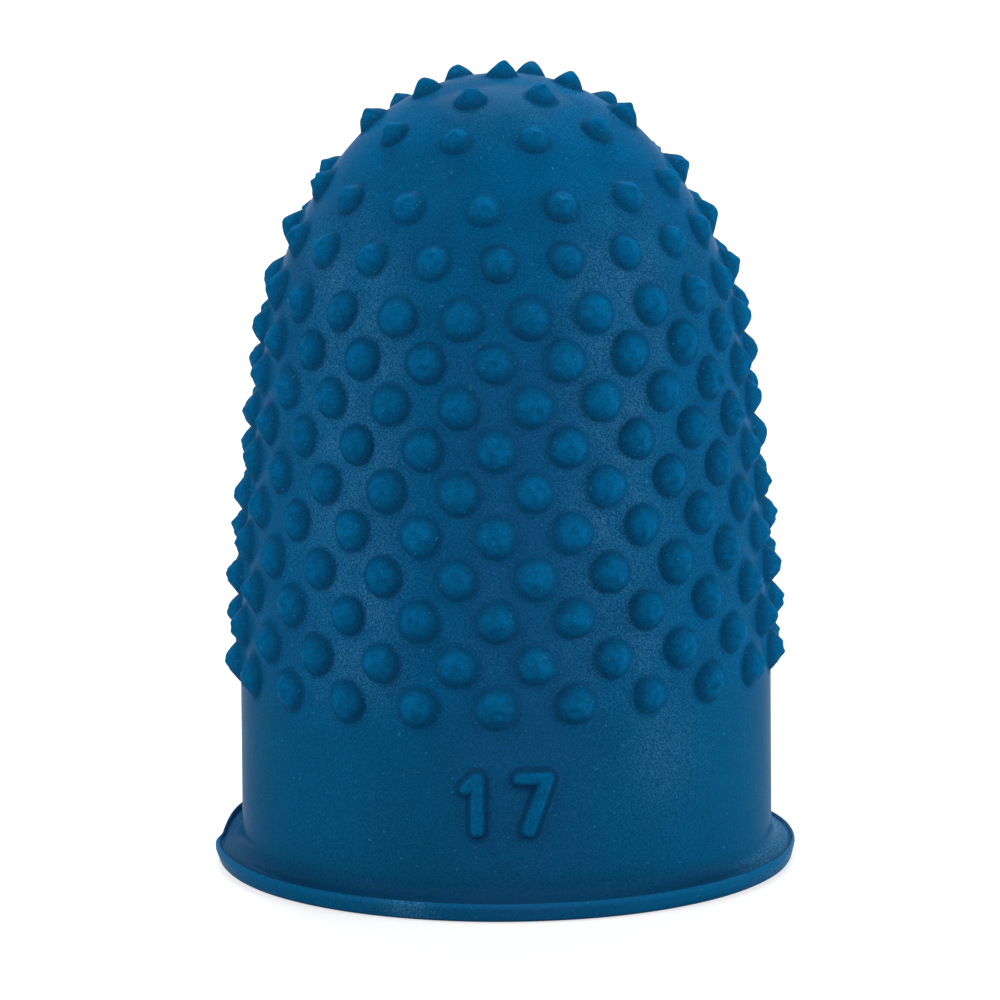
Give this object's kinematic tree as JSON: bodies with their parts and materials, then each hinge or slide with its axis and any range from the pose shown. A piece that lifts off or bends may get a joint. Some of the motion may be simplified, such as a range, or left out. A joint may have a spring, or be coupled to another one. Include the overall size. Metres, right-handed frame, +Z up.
{
  "type": "rubber fingertip",
  "caption": "Blue rubber fingertip: a studded thimble with a round crown, a smooth straight collar and a flanged open mouth, worn on a finger to grip and turn paper.",
  "frame": {"origin": "centre of the flange's underside, where the open mouth stands on a table", "axes": "+Z up along the finger's axis to the crown, -Y towards the raised figures on the front, +X to the right seen from the front"},
  "size_m": [0.022, 0.022, 0.0306],
  "materials": {
    "wall_rubber": "matte, finely grained, with a pale dusty bloom",
    "stud_rubber": "satin, smooth from the mould"
  },
  "bodies": {
    "root": {"rim": "wall_rubber", "collar": "wall_rubber", "sleeve": "wall_rubber", "shoulder": "wall_rubber", "crown": "wall_rubber", "size_figures": "stud_rubber", "stud_row_01": "stud_rubber", "stud_row_02": "stud_rubber", "stud_row_03": "stud_rubber", "stud_row_04": "stud_rubber", "stud_row_05": "stud_rubber", "stud_row_06": "stud_rubber", "stud_row_07": "stud_rubber", "stud_row_08": "stud_rubber", "stud_row_09": "stud_rubber", "stud_row_10": "stud_rubber", "crown_row_1": "stud_rubber", "crown_row_2": "stud_rubber", "crown_row_3": "stud_rubber", "crown_row_4": "stud_rubber", "apex_stud": "stud_rubber"}
  },
  "joints": []
}
